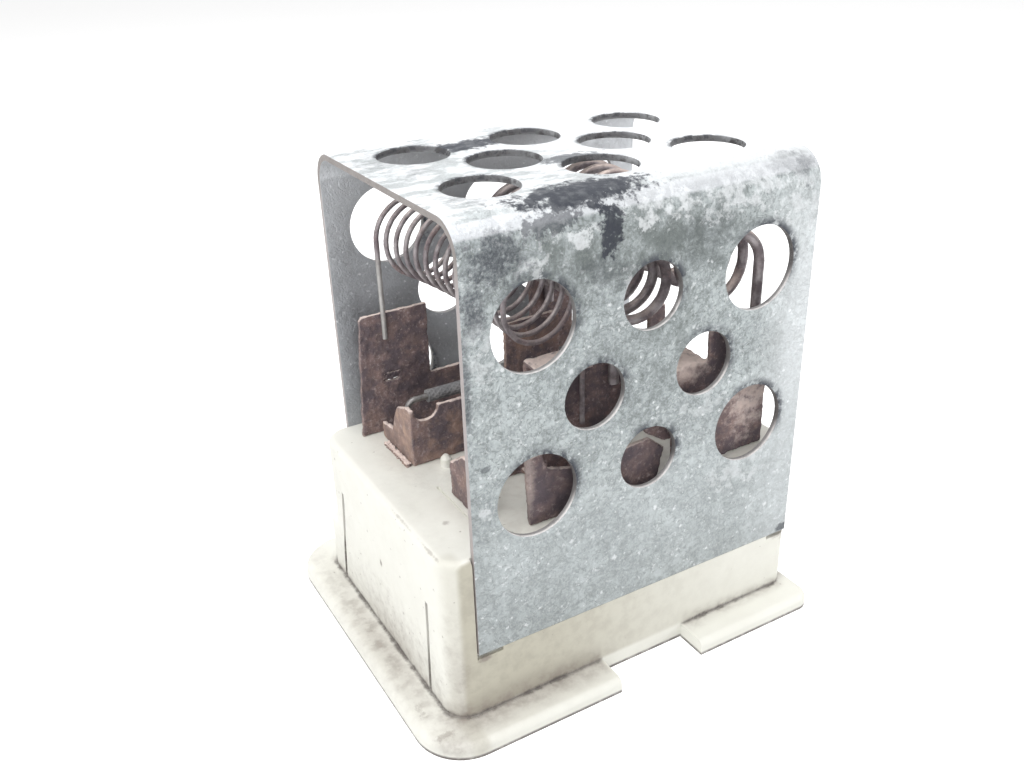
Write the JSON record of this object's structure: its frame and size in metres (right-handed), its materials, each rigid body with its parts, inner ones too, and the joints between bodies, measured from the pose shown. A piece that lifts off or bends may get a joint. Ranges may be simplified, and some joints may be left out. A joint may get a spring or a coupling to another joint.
{
  "type": "blower motor resistor",
  "caption": "Open wire coils in an arched perforated steel cage on a hollow moulded base with flange and plug socket.",
  "frame": {"origin": "centre of the plug socket's mouth, in the plane of the flange's underside", "axes": "+Z from the plug socket through the deck to the cage's top; X along the long side, with the latch end at -X; Y across, with the pictured wall at -Y"},
  "size_m": [0.0725, 0.0616, 0.0792],
  "materials": {
    "ivory_plastic": "aged, matte, grimy along the flange",
    "galvanised_sheet": "dull zinc with white corrosion speckle and oily stains",
    "rusty_strip": "rusted, matte",
    "resistance_wire": "oxidised, dull",
    "plated_case": "dull tin plate",
    "sealing_resin": "brown cast resin",
    "tinned_wire": "dull tin plate",
    "woven_sleeve": "greyed glass braid"
  },
  "bodies": {
    "root": {"base_block": "ivory_plastic", "cage": "galvanised_sheet", "terminal_low": "rusty_strip", "terminal_feed": "rusty_strip", "terminal_mid_low": "rusty_strip", "terminal_mid_high": "rusty_strip", "terminal_high": "rusty_strip", "coil_fine": "resistance_wire", "coil_middle": "resistance_wire", "coil_coarse": "resistance_wire", "fuse_body": "plated_case", "fuse_seal": "sealing_resin", "fuse_lead_left": "tinned_wire", "fuse_lead_right": "tinned_wire", "fuse_sleeve": "woven_sleeve"}
  },
  "joints": []
}
